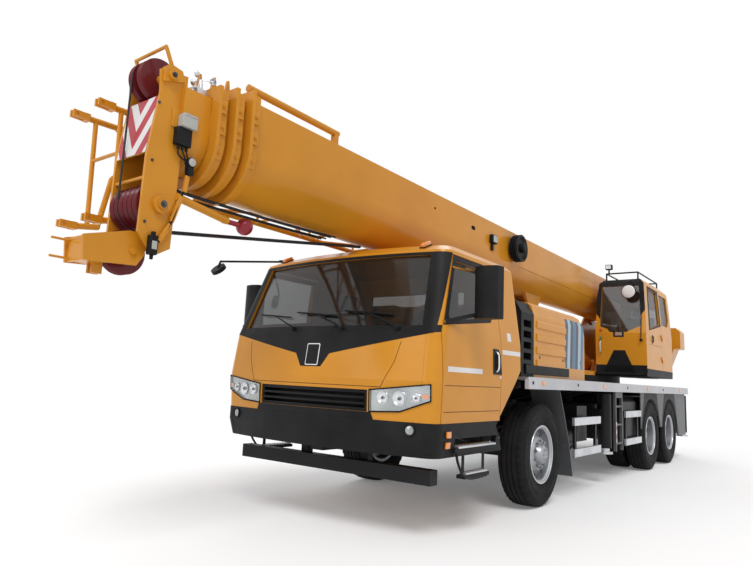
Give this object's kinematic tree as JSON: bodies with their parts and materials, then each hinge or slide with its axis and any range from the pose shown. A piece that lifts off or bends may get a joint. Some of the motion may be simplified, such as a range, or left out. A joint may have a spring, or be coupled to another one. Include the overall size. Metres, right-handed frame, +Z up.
{
  "type": "truck crane",
  "caption": "Truck-mounted mobile crane with a telescopic boom laid forward over the cab, a folded lattice jib, an operator's cab, outriggers and twin rear wheels.",
  "frame": {"origin": "on the ground, midway between the boom head's tip and the counterweight's tail, on the carrier's centre line", "axes": "+X forwards along the carrier and the boom, +Y to the carrier's left, +Z up"},
  "size_m": [12.69, 3.12, 3.5328],
  "materials": {
    "yellow_paint": "gloss",
    "black_paint": "satin",
    "grey_paint": "satin",
    "deck_grey": "satin",
    "silver": "satin",
    "rim_silver": "satin",
    "red_paint": "satin",
    "black_trim": "matte",
    "interior": "matte",
    "lamp": "gloss",
    "cast_iron": "rough",
    "chrome": "polished",
    "tyre": "matte",
    "glass": "clear"
  },
  "bodies": {
    "carrier": {"chassis_frame": "black_paint", "deck": "deck_grey", "front_axle": "black_paint", "rear_axles": "black_paint", "engine_block": "cast_iron", "engine_hood": "yellow_paint", "radiator_housing": "black_trim", "hook_block": "yellow_paint", "cab_shell": "yellow_paint", "cab_glass": "glass", "cab_interior": "interior", "corner_mirror": "black_trim", "front_skirt": "black_trim", "headlamps": "lamp", "grille": "black_trim", "side_guards": "silver", "mudguards": "grey_paint", "tanks": "grey_paint"},
    "left_door": {"door_left": "yellow_paint", "door_left_glass": "glass"},
    "right_door": {"door_right": "yellow_paint", "door_right_glass": "glass"},
    "left_knuckle": {"knuckle_left": "black_paint"},
    "right_knuckle": {"knuckle_right": "black_paint"},
    "wheel_front_left": {"tyre_front_left": "tyre", "rim_front_left": "rim_silver"},
    "wheel_front_right": {"tyre_front_right": "tyre", "rim_front_right": "rim_silver"},
    "wheels_mid_left": {"tyres_mid_left": "tyre", "rims_mid_left": "rim_silver"},
    "wheels_mid_right": {"tyres_mid_right": "tyre", "rims_mid_right": "rim_silver"},
    "wheels_rear_left": {"tyres_rear_left": "tyre", "rims_rear_left": "rim_silver"},
    "wheels_rear_right": {"tyres_rear_right": "tyre", "rims_rear_right": "rim_silver"},
    "beam_front_left": {"rig_beam_front_left": "black_paint"},
    "foot_front_left": {"jack_front_left": "silver"},
    "beam_front_right": {"rig_beam_front_right": "black_paint"},
    "foot_front_right": {"jack_front_right": "silver"},
    "beam_rear_left": {"rig_beam_rear_left": "black_paint"},
    "foot_rear_left": {"jack_rear_left": "silver"},
    "beam_rear_right": {"rig_beam_rear_right": "black_paint"},
    "foot_rear_right": {"jack_rear_right": "silver"},
    "superstructure": {"turntable": "yellow_paint", "counterweight": "yellow_paint", "winches": "black_paint", "operator_cab": "yellow_paint", "operator_cab_glass": "glass", "operator_seat": "interior"},
    "cabin_door": {"operator_door": "yellow_paint", "operator_door_glass": "glass"},
    "boom": {"boom_base": "yellow_paint", "jib": "yellow_paint"},
    "section_2": {"boom_section_2": "yellow_paint"},
    "section_3": {"boom_section_3": "yellow_paint"},
    "section_4": {"boom_tip": "yellow_paint", "head_sheaves": "red_paint"},
    "cylinder_barrel": {"lift_barrel": "yellow_paint"},
    "cylinder_rod": {"lift_rod": "chrome"}
  },
  "joints": [
    {"name": "steer_left", "type": "hinge", "parent": "carrier", "child": "left_knuckle", "pos_m": [1.635, 0.88, 0.54], "axis": [0, 0, 1], "range_deg": [-33, 33]},
    {"name": "steer_right", "type": "hinge", "parent": "carrier", "child": "right_knuckle", "pos_m": [1.635, -0.88, 0.54], "axis": [0, 0, 1], "range_deg": [-33, 33]},
    {"name": "roll_front_left", "type": "hinge", "parent": "left_knuckle", "child": "wheel_front_left", "pos_m": [1.635, 1.04, 0.54], "axis": [0, 1, 0], "continuous": true},
    {"name": "roll_front_right", "type": "hinge", "parent": "right_knuckle", "child": "wheel_front_right", "pos_m": [1.635, -1.04, 0.54], "axis": [0, 1, 0], "continuous": true},
    {"name": "roll_mid_left", "type": "hinge", "parent": "carrier", "child": "wheels_mid_left", "pos_m": [-2.79, 1.09, 0.54], "axis": [0, 1, 0], "continuous": true},
    {"name": "roll_mid_right", "type": "hinge", "parent": "carrier", "child": "wheels_mid_right", "pos_m": [-2.79, -1.09, 0.54], "axis": [0, 1, 0], "continuous": true},
    {"name": "roll_rear_left", "type": "hinge", "parent": "carrier", "child": "wheels_rear_left", "pos_m": [-4.14, 1.09, 0.54], "axis": [0, 1, 0], "continuous": true},
    {"name": "roll_rear_right", "type": "hinge", "parent": "carrier", "child": "wheels_rear_right", "pos_m": [-4.14, -1.09, 0.54], "axis": [0, 1, 0], "continuous": true},
    {"name": "left_door_swing", "type": "hinge", "parent": "carrier", "child": "left_door", "pos_m": [3.829, 1.243, 1.4], "axis": [0, 0, -1], "range_deg": [0, 68]},
    {"name": "right_door_swing", "type": "hinge", "parent": "carrier", "child": "right_door", "pos_m": [3.829, -1.243, 1.4], "axis": [0, 0, 1], "range_deg": [0, 68]},
    {"name": "reach_front_left", "type": "slide", "parent": "carrier", "child": "beam_front_left", "axis": [0, 1, 0], "range_m": [0, 1.8]},
    {"name": "jack_front_left", "type": "slide", "parent": "beam_front_left", "child": "foot_front_left", "axis": [0, 0, -1], "range_m": [0, 0.6]},
    {"name": "reach_front_right", "type": "slide", "parent": "carrier", "child": "beam_front_right", "axis": [0, -1, 0], "range_m": [0, 1.8]},
    {"name": "jack_front_right", "type": "slide", "parent": "beam_front_right", "child": "foot_front_right", "axis": [0, 0, -1], "range_m": [0, 0.6]},
    {"name": "reach_rear_left", "type": "slide", "parent": "carrier", "child": "beam_rear_left", "axis": [0, 1, 0], "range_m": [0, 1.8]},
    {"name": "jack_rear_left", "type": "slide", "parent": "beam_rear_left", "child": "foot_rear_left", "axis": [0, 0, -1], "range_m": [0, 0.6]},
    {"name": "reach_rear_right", "type": "slide", "parent": "carrier", "child": "beam_rear_right", "axis": [0, -1, 0], "range_m": [0, 1.8]},
    {"name": "jack_rear_right", "type": "slide", "parent": "beam_rear_right", "child": "foot_rear_right", "axis": [0, 0, -1], "range_m": [0, 0.6]},
    {"name": "slew", "type": "hinge", "parent": "carrier", "child": "superstructure", "pos_m": [-3.115, 0, 1.483], "axis": [0, 0, 1], "continuous": true},
    {"name": "cabin_door_swing", "type": "hinge", "parent": "superstructure", "child": "cabin_door", "pos_m": [-3.637, 1.254, 2], "axis": [0, 0, 1], "range_deg": [0, 75]},
    {"name": "luff", "type": "hinge", "parent": "superstructure", "child": "boom", "pos_m": [-4.765, 0, 2.7], "axis": [0, -1, 0], "range_deg": [0, 80]},
    {"name": "cylinder_swing", "type": "hinge", "parent": "superstructure", "child": "cylinder_barrel", "pos_m": [-3.4, 0, 1.68], "axis": [0, -1, 0], "range_deg": [0, 80]},
    {"name": "cylinder_stroke", "type": "slide", "parent": "cylinder_barrel", "child": "cylinder_rod", "axis": [0.9659, 0, 0.2589], "range_m": [0, 2.2]},
    {"name": "extend_2", "type": "slide", "parent": "boom", "child": "section_2", "axis": [1, 0, 0], "range_m": [0, 7.6]},
    {"name": "extend_3", "type": "slide", "parent": "section_2", "child": "section_3", "axis": [1, 0, 0], "range_m": [0, 7.6]},
    {"name": "extend_4", "type": "slide", "parent": "section_3", "child": "section_4", "axis": [1, 0, 0], "range_m": [0, 7.6]}
  ],
  "couplings": [
    {"joint": "steer_right", "follows": "steer_left", "ratio": 1},
    {"joint": "cylinder_swing", "follows": "luff", "ratio": 0.9906},
    {"joint": "cylinder_stroke", "follows": "luff", "m_per_rad": 1.5685},
    {"joint": "extend_4", "follows": "extend_3", "ratio": 1}
  ]
}
